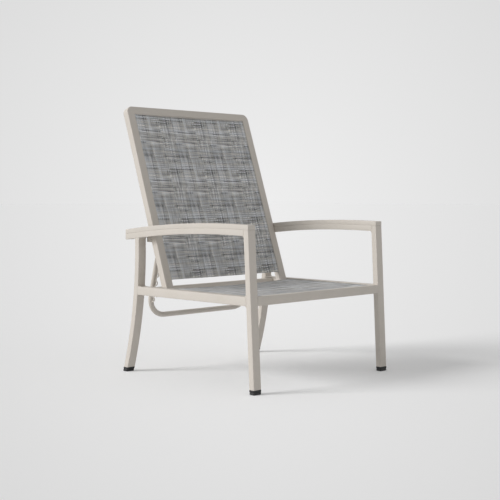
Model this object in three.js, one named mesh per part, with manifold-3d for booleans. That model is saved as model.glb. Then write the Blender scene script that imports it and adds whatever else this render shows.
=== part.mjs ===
// Sling patio chair with a reclining back, in millimetres, +Z up, its front towards -Y.
// The origin is on the ground, in the middle of the chair's overall box.
import * as THREE from 'three';
import { mergeVertices } from 'three/addons/utils/BufferGeometryUtils.js';
import Module from 'manifold-3d';

const wasm = await Module();
wasm.setup();

// Driving dimensions of the whole chair. Depths (Y) are measured back from the front toe.
const overallWidth = 781;
const legWidth = 38;
const legDepth = 25;
const tubeWall = 2;
const tubeRound = 2.5;
const weldFillet = 8;
const fitGap = 0.3;
const cutOver = 20;

// Front leg: straight, leaning back from its toe
const frontLegLean = THREE.MathUtils.degToRad(3);
const frontLegFaceHeight = 600;

// Rear leg: kicked back at the toe, straight above
const rearLegBehindHinge = 114.8;
const rearLegKick = 82.1;
const rearLegStraightFrom = 515;

// Foot glides
const glideHeight = 18;
const glideLip = 0.6;
const glideStem = 22;
const glideRound = 1.5;

// Arms: two layers of tube on one arch
const armCrestHeight = 621;
const armCrestDepth = 198.5;
const armRadius = 4200;
const armCapThickness = 18;
const armRailThickness = 23;
const armPastRearLeg = 85.1;
const armPlugThickness = 3;
const armPlugStem = 18;
const armFacets = 10;

// Seat
const seatRailTop = 356.4;
const seatRailHeight = 34.2;
const rearRailBehindHinge = 75;
const rearRailDepth = 22;
const rearRailTop = 351.6;
const seatSlingBeforeHinge = 20;
const seatSlingFrontGap = 2;
const seatSlingSag = 6;
const seatSlotBelowTop = 4.3;

// Sling edge: fabric round a rod in a keyhole channel
const channelBore = 3.2;
const channelWall = 1.5;
const channelSlot = 2.4;
const boreBehindFace = 5.96;
const fabricThickness = 0.9;
const hemRadius = 2.9;
const splineRadius = 1.8;

// Back frame, along its own slope
const hingeDepth = 541.6;
const hingeHeight = 340;
const backLean = THREE.MathUtils.degToRad(18.77);
const backSideGap = 2.5;
const backRailFace = 36.6;
const backTopRailFace = 31.3;
const backRailDepth = 30;
const backTopAbove = 790.4;
const backCornerRadius = 28;
const backSlingLow = 45.5;
const backSlingSag = 8;
const backSlotBehindFront = 4.7;
const backTopGap = 1;
const spreaderLow = 68;
const spreaderHeight = 25;
const spreaderDepth = 11.5;
const spreaderFront = 2;

// Hinge hardware
const hingeBoltRadius = 4;
const boltClearance = 0.15;
const bushWall = 1;
const boltHeadRadius = 7;
const boltHeadHeight = 5.3;
const nutRadius = 7;
const nutHeight = 6.5;
const washerRadius = 11;

// Stubs on the back rails and the stay's pivot
const pivotHeight = 546;
const pivotBehindRail = 7.8;
const stubBelowPivot = 10;
const stubHeight = 26;
const stubBehindPivot = 15.2;
const stubPlugThickness = 3;
const stubPlugStem = 7;
const plugRound = 1;
const stayBoltRadius = 4;

// Stay: a bent round tube that hangs from the pivots
const staySideGap = 11.4;
const stayTubeRadius = 11;
const stayTubeWall = 1.5;
const stayBelowPin = 96.8;
const stayBendRadius = 90;
const stayTopAbove = 14;
const stayPlugHeight = 4;
const stayPlugStem = 8;
const stayBushFlange = 8.2;

// Racks of teeth on the stay's legs, and the pins that catch them
const rackThickness = 5;
const rackStrip = 6.4;
const toothRadius = 11.5;
const toothHoleRadius = 7;
const toothCentreOffset = 14.5;
const toothPitch = 35.7;
const toothCount = 5;
const catchPinRadius = 4;
const catchPinGap = 0.5;
const catchPinRise = 0.8;
const catchPinBehindRail = 37.25;
const catchPinBelowRailTop = 40.5;
const catchEarGap = 11;
const catchEarThickness = 3;
const catchBaseThickness = 3;
const catchBaseHeight = 25;
const catchBaseAboveRail = 8;
const catchEarRound = 7;
const catchPinOverhang = 1;

// Facets of round things
const boltSides = 16;
const stayTubeSides = 14;
const bendSteps = 6;
const sagSteps = 6;
const legFacets = 10;
const glideFacets = 2;
const cornerSteps = 3;
const weldSteps = 5;
const wrapSteps = 10;
const boreSides = 14;
const rodSides = 12;
const hingeEndSteps = 12;
const bowSteps = 4;
const earSteps = 8;
const toothSteps = 10;
const mergeTolerance = 1e-4;

// Sizes that follow from the driving dimensions
const frontLegFace = frontLegFaceHeight * Math.tan(frontLegLean);
const legInner = overallWidth / 2 - legWidth;
const legOuter = overallWidth / 2;
const rearLegFace = hingeDepth + rearLegBehindHinge;
const rearRailFront = hingeDepth + rearRailBehindHinge;
const rearRailRear = rearRailFront + rearRailDepth;
const armRear = rearLegFace + armPastRearLeg;
const armThickness = armCapThickness + armRailThickness;
const seatRailBottom = seatRailTop - seatRailHeight;
const seatSlingRear = hingeDepth - seatSlingBeforeHinge;
const seatSlingLevel = seatRailTop - seatSlotBelowTop;
const backOuter = legInner - backSideGap;
const backInner = backOuter - backRailFace;
const backTopLow = backTopAbove - backTopRailFace;
const backHalfDepth = backRailDepth / 2;
const backSlingLevel = -backHalfDepth + backSlotBehindFront;
const bushRadius = hingeBoltRadius + boltClearance + bushWall;
const hemHole = hemRadius - fabricThickness;

// Depth of the rear face of a back rail at height z
function backRailRear(z) {
  return hingeDepth + (z - hingeHeight) * Math.tan(backLean) + backHalfDepth / Math.cos(backLean);
}

// The stay hangs from its pivot so that its notch lies over the catch pin
const pivotDepth = backRailRear(pivotHeight) + pivotBehindRail;
const stubRear = pivotDepth + stubBehindPivot;
const catchPinDepth = rearRailRear + catchPinBehindRail;
const catchPinHeight = rearRailTop - catchPinBelowRailTop;
const notchPinOffset = stayTubeRadius + fitGap + rackStrip + catchPinGap + catchPinRadius;
const pinAway = Math.hypot(catchPinDepth - pivotDepth, pivotHeight - catchPinHeight);
const pinBearing = Math.atan2(catchPinDepth - pivotDepth, pivotHeight - catchPinHeight);
const notchPinDown = Math.sqrt(pinAway ** 2 - notchPinOffset ** 2);
const stayLean = pinBearing + Math.asin(notchPinOffset / pinAway);
const lowestTooth = notchPinDown + toothPitch / 2 + catchPinRise;
const stayLength = notchPinDown + stayBelowPin;
const stayHalfWidth = backInner - staySideGap - stayTubeRadius;

const frontLeg = {
  face: frontLegFace,
  bowTop: -Infinity,
  line: (offset, z) => offset + z * Math.tan(frontLegLean),
};
const rearLegBend = (rearLegStraightFrom ** 2 + rearLegKick ** 2) / (2 * rearLegKick);
const rearLeg = {
  face: rearLegFace,
  bowTop: rearLegStraightFrom,
  line: (offset, z) => {
    const drop = Math.max(rearLegStraightFrom - z, 0);
    const radius = rearLegBend - offset;
    return rearLegFace + offset + radius - Math.sqrt(radius ** 2 - drop ** 2);
  },
};

// Finishes
function finish(color, roughness, metalness) {
  return new THREE.MeshStandardMaterial({ color, roughness, metalness });
}

const powderCoat = finish('#cac3ba', 0.5, 0.1);
const blackPlastic = finish('#1c1c1e', 0.6, 0);
const nylon = finish('#d8d5cc', 0.5, 0);
const zincSteel = finish('#a9abad', 0.35, 0.9);
const slingFabric = finish('#88898c', 0.85, 0);
const splineRod = finish('#d9dcdc', 0.6, 0);

// Solids

function toSolid(geometry) {
  const bare = geometry.clone();
  bare.deleteAttribute('normal');
  bare.deleteAttribute('uv');
  const merged = mergeVertices(bare, mergeTolerance);
  const triVerts = Uint32Array.from(merged.index.array);
  const vertProperties = Float32Array.from(merged.attributes.position.array);
  return new wasm.Manifold(new wasm.Mesh({ numProp: 3, vertProperties, triVerts }));
}

function toGeometry(solid) {
  const mesh = solid.getMesh();
  const geometry = new THREE.BufferGeometry();
  const positions = new Float32Array(mesh.numVert * 3);
  for (let i = 0; i < mesh.numVert; i += 1) {
    for (let k = 0; k < 3; k += 1) positions[3 * i + k] = mesh.vertProperties[mesh.numProp * i + k];
  }
  geometry.setAttribute('position', new THREE.BufferAttribute(positions, 3));
  geometry.setIndex(new THREE.BufferAttribute(Uint32Array.from(mesh.triVerts), 1));
  geometry.computeVertexNormals();
  return geometry;
}

const corners = (points) => points.map(([a, b]) => new THREE.Vector2(a, b));

function extruded(points, length, round = 0) {
  const shape = points instanceof THREE.Shape ? points : new THREE.Shape(corners(points));
  const geometry = new THREE.ExtrudeGeometry(shape, {
    depth: length - 2 * round,
    steps: 1,
    bevelEnabled: round > 0,
    bevelThickness: round,
    bevelSize: round,
    bevelOffset: -round,
    bevelSegments: 2,
  });
  return geometry.translate(0, 0, round);
}

const outlineToSide = new THREE.Matrix4().set(0, 0, 1, 0, 1, 0, 0, 0, 0, 1, 0, 0, 0, 0, 0, 1);
const outlineToRear = new THREE.Matrix4().set(1, 0, 0, 0, 0, 0, -1, 0, 0, 1, 0, 0, 0, 0, 0, 1);

// An outline in (y, z), extruded along X from x0 to x1
function sidePrism(points, x0, x1, round = 0) {
  return toSolid(extruded(points, x1 - x0, round).applyMatrix4(outlineToSide).translate(x0, 0, 0));
}

// An outline in (x, z), extruded along Y from y0 to y1
function depthPrism(points, y0, y1, round = 0) {
  return toSolid(extruded(points, y1 - y0, round).applyMatrix4(outlineToRear).translate(0, y1, 0));
}

// An outline in (x, y), extruded along Z from z0 to z1
function risePrism(points, z0, z1, round = 0) {
  return toSolid(extruded(points, z1 - z0, round).translate(0, 0, z0));
}

// A rounded rectangle as a list of points
function roundedBox(a0, a1, b0, b1, radius) {
  const shape = new THREE.Shape();
  shape.moveTo(a0 + radius, b0);
  shape.lineTo(a1 - radius, b0);
  shape.absarc(a1 - radius, b0 + radius, radius, -Math.PI / 2, 0);
  shape.lineTo(a1, b1 - radius);
  shape.absarc(a1 - radius, b1 - radius, radius, 0, Math.PI / 2);
  shape.lineTo(a0 + radius, b1);
  shape.absarc(a0 + radius, b1 - radius, radius, Math.PI / 2, Math.PI);
  shape.lineTo(a0, b0 + radius);
  shape.absarc(a0 + radius, b0 + radius, radius, Math.PI, Math.PI * 1.5);
  return shape.getPoints(cornerSteps).map((p) => [p.x, p.y]).slice(0, -1);
}

const box = (a0, a1, b0, b1) => [[a0, b0], [a1, b0], [a1, b1], [a0, b1]];

function arc(ca, cb, radius, from, to, steps) {
  const points = [];
  for (let i = 0; i <= steps; i += 1) {
    const angle = from + ((to - from) * i) / steps;
    points.push([ca + radius * Math.cos(angle), cb + radius * Math.sin(angle)]);
  }
  return points;
}

// A whole circle as an outline
const circle = (ca, cb, radius, sides) => arc(ca, cb, radius, 0, Math.PI * 2, sides).slice(0, -1);

// A cylinder along X
function barAlongX(radius, x0, x1, y, z, sides = boltSides) {
  const geometry = new THREE.CylinderGeometry(radius, radius, x1 - x0, sides);
  return toSolid(geometry.rotateZ(Math.PI / 2).translate((x0 + x1) / 2, y, z));
}

// X range of a piece on one side of the chair, given as distances from the middle
const span = (side, near, far) => (side > 0 ? [near, far] : [-far, -near]);

// Depth of a line on a leg, at a distance behind its front face, at height z
const legLine = (leg, offset, z) => leg.line(offset, z);

// Height of a line of the arm, at a distance below its top, at depth y
function armLine(below, y) {
  const radius = armRadius - below;
  return armCrestHeight - armRadius + Math.sqrt(radius ** 2 - (y - armCrestDepth) ** 2);
}

function legOutline(leg, from, to, low, high, facets = legFacets) {
  const bowTop = Math.min(high, leg.bowTop);
  const heights = [low];
  for (let i = 1; i <= facets && bowTop > low; i += 1) heights.push(low + ((bowTop - low) * i) / facets);
  if (high > bowTop) heights.push(high);
  const front = heights.map((z) => [legLine(leg, from, z), z]);
  const rear = heights.map((z) => [legLine(leg, to, z), z]);
  return [...rear, ...front.reverse()];
}

function armOutline(above, below, front, rear, facets = armFacets) {
  const top = [];
  const bottom = [];
  for (let i = 0; i <= facets; i += 1) {
    const y = front + ((rear - front) * i) / facets;
    top.push([y, armLine(above, y)]);
    bottom.push([y, armLine(below, y)]);
  }
  return [...bottom, ...top.reverse()];
}

// The small round corner of a weld: its corner at (a, b), reaching along da and db
function weldOutline(a, b, da, db) {
  const from = Math.atan2(0, -da);
  const turn = da * db > 0 ? Math.PI / 2 : -Math.PI / 2;
  const centre = [a + da * weldFillet, b + db * weldFillet];
  const bow = arc(centre[0], centre[1], weldFillet, from, from + turn, weldSteps);
  const points = [[a, b], ...bow];
  const area = THREE.ShapeUtils.area(corners(points));
  return area > 0 ? points : points.reverse();
}

// Frame pieces

function leg(shape, side, topBelow) {
  const [x0, x1] = span(side, legInner, legOuter);
  const high = armCrestHeight;
  const body = sidePrism(legOutline(shape, 0, legDepth, -cutOver, high), x0, x1, tubeRound);
  const bore = sidePrism(
    legOutline(shape, tubeWall, legDepth - tubeWall, -cutOver * 2, high + cutOver),
    x0 + tubeWall,
    x1 - tubeWall,
  );
  const middle = shape.face + legDepth / 2;
  const low = shape.face - legDepth * 2;
  const deep = legLine(shape, legDepth, 0) + legDepth * 2;
  const topAt = (y) => armLine(topBelow, middle) - fitGap + (y - middle) * armSlope(middle);
  const keep = sidePrism(
    [
      [low, glideHeight],
      [deep, glideHeight],
      [deep, topAt(deep)],
      [low, topAt(low)],
    ],
    x0 - cutOver,
    x1 + cutOver,
  );
  return body.intersect(keep).subtract(bore);
}

function armSlope(y) {
  return -(y - armCrestDepth) / Math.sqrt(armRadius ** 2 - (y - armCrestDepth) ** 2);
}

function glide(shape, side) {
  const [x0, x1] = span(side, legInner - glideLip, legOuter + glideLip);
  const padOutline = legOutline(shape, -glideLip, legDepth + glideLip, 0, glideHeight, glideFacets);
  const pad = sidePrism(padOutline, x0, x1, glideRound);
  const inset = glideLip + tubeWall + fitGap;
  const stem = sidePrism(
    legOutline(
      shape,
      tubeWall + fitGap,
      legDepth - tubeWall - fitGap,
      glideHeight / 2,
      glideHeight + glideStem,
      glideFacets + 1,
    ),
    x0 + inset,
    x1 - inset,
  );
  return pad.add(stem);
}

function armRail(side) {
  const [x0, x1] = span(side, legInner, legOuter);
  const legBack = (z) => legLine(frontLeg, legDepth + fitGap, z);
  const front = legBack(armLine(armThickness, frontLegFace + legDepth));
  const rear = armRear - armPlugThickness - fitGap;
  const top = armCapThickness + fitGap;
  const body = sidePrism(armOutline(top, armThickness, front - cutOver, rear + cutOver), x0, x1, tubeRound);
  const bore = sidePrism(
    armOutline(top + tubeWall, armThickness - tubeWall, front - cutOver * 2, rear + cutOver * 2),
    x0 + tubeWall,
    x1 - tubeWall,
  );
  const high = armCrestHeight + cutOver;
  const keep = sidePrism(
    [[legBack(seatRailTop), seatRailTop], [rear, seatRailTop], [rear, high], [legBack(high), high]],
    x0 - cutOver,
    x1 + cutOver,
  );
  const frontWeld = weldOutline(front, armLine(armThickness, front + weldFillet) + tubeRound, 1, -1);
  const rearWeld = weldOutline(
    rearLegFace - fitGap,
    armLine(armThickness, rearLegFace - weldFillet / 2) + tubeRound,
    -1,
    -1,
  );
  let solid = body.intersect(keep);
  for (const outline of [frontWeld, rearWeld]) {
    solid = solid.add(sidePrism(outline, x0 + tubeRound, x1 - tubeRound));
  }
  return solid.subtract(bore);
}

function armCap(side) {
  const [x0, x1] = span(side, legInner, legOuter);
  const rear = armRear - armPlugThickness - fitGap;
  const body = sidePrism(armOutline(0, armCapThickness, frontLegFace, rear + cutOver), x0, x1, tubeRound);
  const keep = sidePrism(
    box(frontLegFace - cutOver, rear, seatRailTop, armCrestHeight + cutOver),
    x0 - cutOver,
    x1 + cutOver,
  );
  const bore = sidePrism(
    armOutline(tubeWall, armCapThickness - tubeWall, frontLegFace + tubeWall * 2, rear + cutOver * 2),
    x0 + tubeWall,
    x1 - tubeWall,
  );
  return body.intersect(keep).subtract(bore);
}

function armPlug(side) {
  const [x0, x1] = span(side, legInner, legOuter);
  const front = armRear - armPlugThickness;
  const plate = sidePrism(armOutline(0, armThickness, front, armRear, 1), x0, x1, plugRound);
  const inset = tubeWall + fitGap;
  let solid = plate;
  for (const [above, below] of [[0, armCapThickness], [armCapThickness + fitGap, armThickness]]) {
    const reach = front + armPlugThickness / 2;
    const stem = armOutline(above + inset, below - inset, front - armPlugStem, reach, 2);
    solid = solid.add(sidePrism(stem, x0 + inset, x1 - inset));
  }
  return solid;
}

// A keyhole channel beside x = face, open towards the middle of the chair, as outlines in (x, height)
function channel(side, face, centre) {
  const x = side * (face + boreBehindFace);
  const wall = channelBore + channelWall;
  return {
    x,
    bore: circle(x, centre, channelBore, boreSides),
    ring: circle(x, centre, wall, boreSides),
    slot: box(...span(side, face - cutOver, Math.abs(x)), centre - channelSlot / 2, centre + channelSlot / 2),
    web: box(...span(side, face, Math.abs(x)), centre - wall, centre + wall),
  };
}

function sideRail(side) {
  const [x0, x1] = span(side, legInner, legOuter);
  const front = frontLegFace - legDepth;
  const rear = rearLegFace + legDepth * 2;
  const key = channel(side, legInner, seatSlingLevel);
  const lay = (outline) => depthPrism(outline, front, rear);
  const tube = lay(roundedBox(x0, x1, seatRailBottom, seatRailTop, tubeRound));
  const hollow = lay(box(x0 + tubeWall, x1 - tubeWall, seatRailBottom + tubeWall, seatRailTop - tubeWall));
  const lining = lay(key.ring).add(lay(key.web)).intersect(tube);
  const weldFront = legLine(frontLeg, legDepth, seatRailTop);
  const weldRear = legLine(rearLeg, 0, seatRailTop);
  const welds = [
    weldOutline(weldFront, seatRailTop - tubeRound, 1, 1),
    weldOutline(weldFront, seatRailBottom + tubeRound, 1, -1),
    weldOutline(weldRear, seatRailTop - tubeRound, -1, 1),
  ];
  let solid = tube;
  for (const outline of welds) solid = solid.add(sidePrism(outline, x0 + tubeRound, x1 - tubeRound));
  solid = solid.subtract(hollow).add(lining).subtract(lay(key.bore)).subtract(lay(key.slot));
  const cutLow = seatRailBottom - cutOver;
  const cutHigh = seatRailTop + cutOver;
  const frontCut = legOutline(frontLeg, -legDepth * 3, legDepth + fitGap, cutLow, cutHigh);
  const rearCut = legOutline(rearLeg, -fitGap, legDepth * 4, cutLow, cutHigh);
  for (const outline of [frontCut, rearCut]) {
    solid = solid.subtract(sidePrism(outline, x0 - cutOver, x1 + cutOver));
  }
  const boltHole = span(side, legInner - cutOver, legInner + legWidth / 2);
  return solid.subtract(barAlongX(hingeBoltRadius + boltClearance, ...boltHole, hingeDepth, hingeHeight));
}

// A tube along X, as far as reach on both sides
function crossTube(front, rear, low, high, reach) {
  const outer = sidePrism(roundedBox(front, rear, low, high, tubeRound), -reach, reach);
  const hollow = box(front + tubeWall, rear - tubeWall, low + tubeWall, high - tubeWall);
  return outer.subtract(sidePrism(hollow, -reach - cutOver, reach + cutOver));
}

function frontRail() {
  const front = legLine(frontLeg, 0, seatRailTop - seatRailHeight / 2);
  return crossTube(front, front + legDepth, seatRailTop - seatRailHeight, seatRailTop, legInner);
}

function rearRail() {
  return crossTube(rearRailFront, rearRailRear, rearRailTop - seatRailHeight, rearRailTop, legInner);
}

// A stretched sling: fabric that sags between two hems, each wrapped round a rod
function slingSection(halfWidth, level, sag) {
  const half = fabricThickness / 2;
  const open = Math.asin(half / hemRadius);
  const edge = halfWidth - hemRadius * Math.cos(open);
  const sagAt = (x, lift) => [x, level + lift - sag * (1 - (x / edge) ** 2)];
  const upper = [];
  const lower = [];
  for (let i = 1; i < sagSteps * 2; i += 1) {
    const x = edge * (i / sagSteps - 1);
    upper.push(sagAt(-x, half));
    lower.push(sagAt(x, -half));
  }
  const right = arc(halfWidth, level, hemRadius, Math.PI + open, Math.PI * 3 - open, wrapSteps);
  const left = arc(-halfWidth, level, hemRadius, open, Math.PI * 2 - open, wrapSteps);
  const shape = new THREE.Shape(corners([...lower, ...right, ...upper, ...left]));
  for (const side of [-1, 1]) {
    const hole = new THREE.Path();
    hole.setFromPoints(corners(circle(side * halfWidth, level, hemHole, wrapSteps).reverse()));
    shape.holes.push(hole);
  }
  return shape;
}

const seatSlingFront = legLine(frontLeg, legDepth, seatRailTop) + seatSlingFrontGap;

function seatSling() {
  const key = channel(1, legInner, seatSlingLevel);
  return depthPrism(slingSection(key.x, seatSlingLevel, seatSlingSag), seatSlingFront, seatSlingRear);
}

function seatSpline(side) {
  const key = channel(side, legInner, seatSlingLevel);
  return depthPrism(circle(key.x, seatSlingLevel, splineRadius, rodSides), seatSlingFront, seatSlingRear);
}

function catchBracket(side) {
  const middle = side * stayHalfWidth;
  const half = catchEarGap / 2 + rackThickness / 2 + catchEarThickness;
  const rear = rearRailRear;
  const top = rearRailTop - catchBaseAboveRail;
  const low = top - catchBaseHeight;
  const base = sidePrism(box(rear, rear + catchBaseThickness, low, top), middle - half, middle + half);
  const earOutline = [
    [rear, low],
    ...arc(catchPinDepth, catchPinHeight, catchEarRound, -Math.PI / 2, Math.PI / 2, earSteps),
    [rear + catchBaseThickness * 2, top],
    [rear, top],
  ];
  let solid = base;
  for (const way of [-1, 1]) {
    const outer = middle + way * half;
    const inner = outer - way * catchEarThickness;
    solid = solid.add(sidePrism(earOutline, Math.min(outer, inner), Math.max(outer, inner)));
  }
  const reach = half + cutOver;
  const bore = catchPinRadius + boltClearance;
  return solid.subtract(barAlongX(bore, middle - reach, middle + reach, catchPinDepth, catchPinHeight));
}

function catchPin(side) {
  const middle = side * stayHalfWidth;
  const half = catchEarGap / 2 + rackThickness / 2 + catchEarThickness + catchPinOverhang;
  return barAlongX(catchPinRadius, middle - half, middle + half, catchPinDepth, catchPinHeight);
}

function ring(outer, inner, x0, x1, y, z) {
  return barAlongX(outer, x0, x1, y, z).subtract(barAlongX(inner, x0 - cutOver, x1 + cutOver, y, z));
}

function hexNut(radius, hole, x0, x1, y, z) {
  return barAlongX(radius, x0, x1, y, z, 6).subtract(barAlongX(hole, x0 - cutOver, x1 + cutOver, y, z));
}

// A bolt from the middle of the chair outwards: head, then shank
function boltOutwards(side, radius, head, tip, y, z) {
  const shank = barAlongX(radius, ...span(side, head - boltHeadHeight / 2, tip), y, z);
  return shank.add(barAlongX(boltHeadRadius, ...span(side, head - boltHeadHeight, head), y, z, 6));
}

const hingeNutFrom = legInner + tubeWall + fitGap;
const hingeNutTo = hingeNutFrom + nutHeight;

function hingeBolt(side) {
  const tip = hingeNutTo + tubeWall;
  return boltOutwards(side, hingeBoltRadius, backInner - fitGap, tip, hingeDepth, hingeHeight);
}

function hingeNut(side) {
  const [x0, x1] = span(side, hingeNutFrom, hingeNutTo);
  return hexNut(nutRadius, hingeBoltRadius + boltClearance, x0, x1, hingeDepth, hingeHeight);
}

function hingeWasher(side) {
  const [x0, x1] = span(side, backOuter + fitGap, legInner - fitGap);
  return ring(washerRadius, hingeBoltRadius + boltClearance, x0, x1, hingeDepth, hingeHeight);
}

// Back pieces, in the slope's own frame: Y back from the rail's middle, Z up the slope from the hinge

function backSideRail(side) {
  const key = channel(side, backInner, backSlingLevel);
  const high = backTopAbove + cutOver;
  const low = -backHalfDepth;
  const [x0, x1] = span(side, backInner, backOuter);
  const outer = risePrism(roundedBox(x0, x1, -backHalfDepth, backHalfDepth, tubeRound), low, high);
  const bore = risePrism(
    box(x0 + tubeWall, x1 - tubeWall, -backHalfDepth + tubeWall, backHalfDepth - tubeWall),
    low + tubeWall,
    high + cutOver,
  );
  const lining = risePrism(key.ring, low, high).add(risePrism(key.web, low, high)).intersect(outer);
  let solid = outer.subtract(bore).add(lining);
  solid = solid.subtract(risePrism(key.bore, low - cutOver, high + cutOver));
  solid = solid.subtract(risePrism(key.slot, low - cutOver, high + cutOver));
  solid = solid.intersect(cornerKeep(side, true)).intersect(hingeEnd(x0, x1));
  return solid.subtract(barAlongX(bushRadius + boltClearance, x0 - cutOver, x1 + cutOver, 0, 0));
}

// The round lower end of a back rail, about the hinge
function hingeEnd(x0, x1) {
  const outline = [
    ...arc(0, 0, backHalfDepth, Math.PI, Math.PI * 2, hingeEndSteps),
    [backHalfDepth, backTopAbove + cutOver],
    [-backHalfDepth, backTopAbove + cutOver],
  ];
  return sidePrism(outline, x0 - cutOver, x1 + cutOver);
}

// What a mitred rail keeps at the top corner: the side rail's half or the top rail's half
function cornerKeep(side, upright) {
  const cx = backOuter - backCornerRadius;
  const cz = backTopAbove - backCornerRadius;
  const step = upright ? fitGap / 2 : -fitGap / 2;
  const [from, to] = upright ? [0, Math.PI / 4] : [Math.PI / 4, Math.PI / 2];
  const bow = arc(cx, cz, backCornerRadius, from, to, bowSteps);
  const seam = upright ? bow[bow.length - 1] : bow[0];
  seam[0] += step;
  seam[1] -= step;
  const bowReach = backCornerRadius * Math.SQRT1_2;
  const slope = (cz + bowReach - backTopLow) / (cx + bowReach - backInner);
  const innerX = backInner - cutOver + step;
  const innerZ = backTopLow - cutOver * slope - step;
  const outline = upright
    ? [[backOuter, -backHalfDepth * 2], ...bow, [innerX, innerZ], [innerX, -backHalfDepth * 2]]
    : [[innerX, innerZ], ...bow, [innerX, backTopAbove]];
  const mirrored = outline.map(([x, z]) => [side * x, z]);
  return depthPrism(side > 0 ? mirrored : mirrored.reverse(), -backRailDepth, backRailDepth);
}

function backTopRail() {
  const outer = crossTube(-backHalfDepth, backHalfDepth, backTopLow, backTopAbove, backOuter);
  const middle = depthPrism(
    box(-backInner + cutOver, backInner - cutOver, backTopLow - cutOver, backTopAbove + cutOver),
    -backRailDepth,
    backRailDepth,
  );
  const keep = middle.add(cornerKeep(1, false)).add(cornerKeep(-1, false));
  return outer.intersect(keep);
}

function backSpreader() {
  const rear = spreaderFront + spreaderDepth - fitGap;
  return crossTube(spreaderFront, rear, spreaderLow, spreaderLow + spreaderHeight, backInner - fitGap);
}

const backSlingHigh = backTopLow - backTopGap;

// The sling sags towards the rear, so its section is turned over
function backSling() {
  const key = channel(1, backInner, backSlingLevel);
  return risePrism(slingSection(key.x, backSlingLevel, -backSlingSag), backSlingLow, backSlingHigh);
}

function backSpline(side) {
  const key = channel(side, backInner, backSlingLevel);
  return risePrism(circle(key.x, backSlingLevel, splineRadius, rodSides), backSlingLow, backSlingHigh);
}

function hingeBushing(side) {
  const [x0, x1] = span(side, backInner, backOuter);
  return ring(bushRadius, hingeBoltRadius + boltClearance, x0, x1, 0, 0);
}

// Stubs and pivots, level with the ground

function stayStub(side) {
  const [x0, x1] = span(side, backInner, backOuter);
  const low = pivotHeight - stubBelowPivot;
  const high = low + stubHeight;
  const front = backRailRear(low) - cutOver;
  const outer = depthPrism(roundedBox(x0, x1, low, high, tubeRound), front, stubRear);
  const bore = depthPrism(
    box(x0 + tubeWall, x1 - tubeWall, low + tubeWall, high - tubeWall),
    front - cutOver,
    stubRear + cutOver,
  );
  const slant = fitGap / Math.cos(backLean);
  const railSide = sidePrism(
    [
      [front - cutOver * 2, low - cutOver],
      [backRailRear(low - cutOver) + slant, low - cutOver],
      [backRailRear(high + cutOver) + slant, high + cutOver],
      [front - cutOver * 2, high + cutOver],
    ],
    x0 - cutOver,
    x1 + cutOver,
  );
  const [h0, h1] = span(side, backInner - cutOver, backInner + tubeWall * 2);
  const hole = barAlongX(stayBoltRadius + boltClearance, h0, h1, pivotDepth, pivotHeight);
  return outer.subtract(bore).subtract(railSide).subtract(hole);
}

function stubPlug(side) {
  const [x0, x1] = span(side, backInner, backOuter);
  const low = pivotHeight - stubBelowPivot;
  const high = low + stubHeight;
  const inset = tubeWall + fitGap;
  const plate = depthPrism(
    roundedBox(x0, x1, low, high, tubeRound),
    stubRear,
    stubRear + stubPlugThickness,
    plugRound,
  );
  const stem = depthPrism(
    box(x0 + inset, x1 - inset, low + inset, high - inset),
    stubRear - stubPlugStem,
    stubRear + stubPlugThickness / 2,
  );
  return plate.add(stem);
}

const stayLegInner = stayHalfWidth - stayTubeRadius;
const stayLegOuter = stayHalfWidth + stayTubeRadius;
const stayNutFrom = backInner + tubeWall + fitGap;

function stayBolt(side) {
  const tip = stayNutFrom + nutHeight + tubeWall;
  return boltOutwards(side, stayBoltRadius, stayLegInner - fitGap * 2, tip, pivotDepth, pivotHeight);
}

function stayNut(side) {
  const [x0, x1] = span(side, stayNutFrom, stayNutFrom + nutHeight);
  return hexNut(nutRadius, stayBoltRadius + boltClearance, x0, x1, pivotDepth, pivotHeight);
}

// Stay pieces, in the stay's own frame: Z up along its legs from the pivot, Y square to them

class StationPath extends THREE.Curve {
  constructor(stations) {
    super();
    this.stations = stations;
  }

  getPoint(t) {
    const last = this.stations.length - 1;
    const at = Math.min(Math.max(t, 0), 1) * last;
    const i = Math.min(Math.floor(at), last - 1);
    return this.stations[i].clone().lerp(this.stations[i + 1], at - i);
  }

  getUtoTmapping(u) {
    return u;
  }
}

const stayBushRadius = stayBoltRadius + boltClearance + bushWall;

function stayTube(radius, above) {
  const stations = [];
  const bottom = -stayLength;
  const half = stayHalfWidth;
  const bend = stayBendRadius;
  stations.push([-half, above]);
  stations.push(...arc(-half + bend, bottom + bend, bend, Math.PI, Math.PI * 1.5, bendSteps));
  stations.push(...arc(half - bend, bottom + bend, bend, Math.PI * 1.5, Math.PI * 2, bendSteps));
  stations.push([half, above]);
  const path = new StationPath(stations.map(([x, z]) => new THREE.Vector3(x, 0, z)));
  const section = new THREE.Shape(corners(circle(0, 0, radius, stayTubeSides)));
  return toSolid(new THREE.ExtrudeGeometry(section, { extrudePath: path, steps: stations.length - 1 }));
}

function stayBar() {
  const outer = stayTube(stayTubeRadius, stayTopAbove);
  let solid = outer.subtract(stayTube(stayTubeRadius - stayTubeWall, stayTopAbove + cutOver));
  for (const side of [-1, 1]) {
    const [x0, x1] = span(side, stayLegInner - cutOver, stayLegOuter + cutOver);
    solid = solid.subtract(barAlongX(stayBushRadius + boltClearance, x0, x1, 0, 0));
  }
  return solid;
}

function stayPlug(side) {
  const centre = side * stayHalfWidth;
  const low = stayTopAbove + fitGap;
  const top = low + stayPlugHeight;
  const cap = risePrism(circle(centre, 0, stayTubeRadius, stayTubeSides), low, top, plugRound);
  const stem = risePrism(
    circle(centre, 0, stayTubeRadius - stayTubeWall - fitGap, stayTubeSides),
    stayTopAbove - stayPlugStem,
    stayTopAbove + stayPlugHeight / 2,
  );
  return cap.add(stem);
}

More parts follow.
